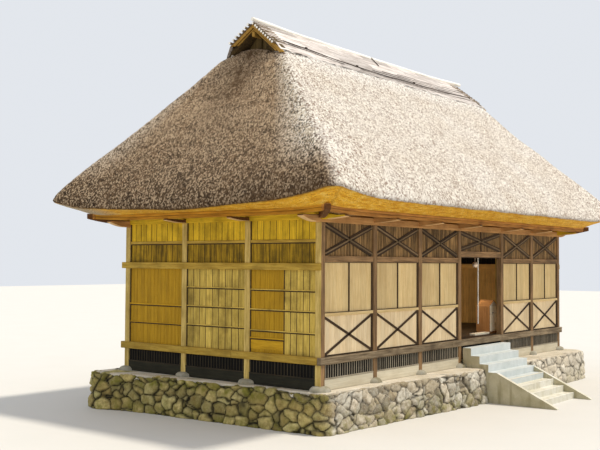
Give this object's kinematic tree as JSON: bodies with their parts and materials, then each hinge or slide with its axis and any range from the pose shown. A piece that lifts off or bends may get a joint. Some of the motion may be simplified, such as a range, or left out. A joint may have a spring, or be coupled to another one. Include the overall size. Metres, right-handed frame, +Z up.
{
  "type": "shinto shrine",
  "caption": "Timber worship hall on a rubble plinth with concrete steps, board walls, cross-braced panels and a hipped thatch roof with small gables at the ridge ends.",
  "frame": {"origin": "middle of the hall's plan, taken between the axes of its corner posts, on the flat underside of the plinth", "axes": "+X along the front to a viewer's right, +Y from the front to the rear, +Z up"},
  "size_m": [13.915, 9.17, 8.707],
  "materials": {
    "rubble": "field stones laid dry, dark joints, moss low down",
    "bed_stone": "pale packed gravel and lime with natural foot-stones",
    "new_concrete": "pale grey concrete, steel trowelled",
    "old_concrete": "weathered cream concrete",
    "frame_wood": "bare conifer timber, weathered",
    "front_boards": "bare boards, bleached",
    "side_boards": "bare boards, ochre, weathered",
    "floor_boards": "bare boards, dark with age",
    "thatch": "straw thatch, trimmed, weathered grey",
    "ridge_bark": "bark sheets and poles, bleached",
    "gable_wood": "bare timber, golden brown",
    "box_wood": "bare boards, orange brown",
    "bell_brass": "dulled brass",
    "rope": "white twisted cotton"
  },
  "bodies": {
    "root": {"rubble_plinth": "rubble", "plinth_bed": "bed_stone", "upper_steps": "new_concrete", "lower_steps": "old_concrete", "left_stair_cheek": "old_concrete", "right_stair_cheek": "old_concrete", "front_left_posts": "frame_wood", "front_right_posts": "frame_wood", "rear_posts": "frame_wood", "left_side_posts": "frame_wood", "right_side_posts": "frame_wood", "front_underfloor_skirt": "frame_wood", "rear_underfloor_skirt": "frame_wood", "left_underfloor_skirt": "frame_wood", "right_underfloor_skirt": "frame_wood", "hall_floor": "floor_boards", "front_left_wall": "front_boards", "front_right_wall": "front_boards", "door_head": "frame_wood", "left_wall": "side_boards", "right_wall": "side_boards", "rear_wall": "side_boards", "front_wall_plate": "frame_wood", "rear_wall_plate": "frame_wood", "left_wall_plate": "frame_wood", "right_wall_plate": "frame_wood", "cross_beam_1": "frame_wood", "cross_beam_2": "frame_wood", "cross_beam_3": "frame_wood", "cross_beam_4": "frame_wood", "cross_beam_5": "frame_wood", "front_eave_purlin": "frame_wood", "rear_eave_purlin": "frame_wood", "left_eave_purlin": "frame_wood", "right_eave_purlin": "frame_wood", "thatch_front": "thatch", "thatch_rear": "thatch", "thatch_left": "thatch", "thatch_right": "thatch", "left_gable": "gable_wood", "right_gable": "gable_wood", "ridge_cover": "ridge_bark", "bell": "bell_brass", "bell_rope": "rope", "offering_box": "box_wood"}
  },
  "joints": []
}
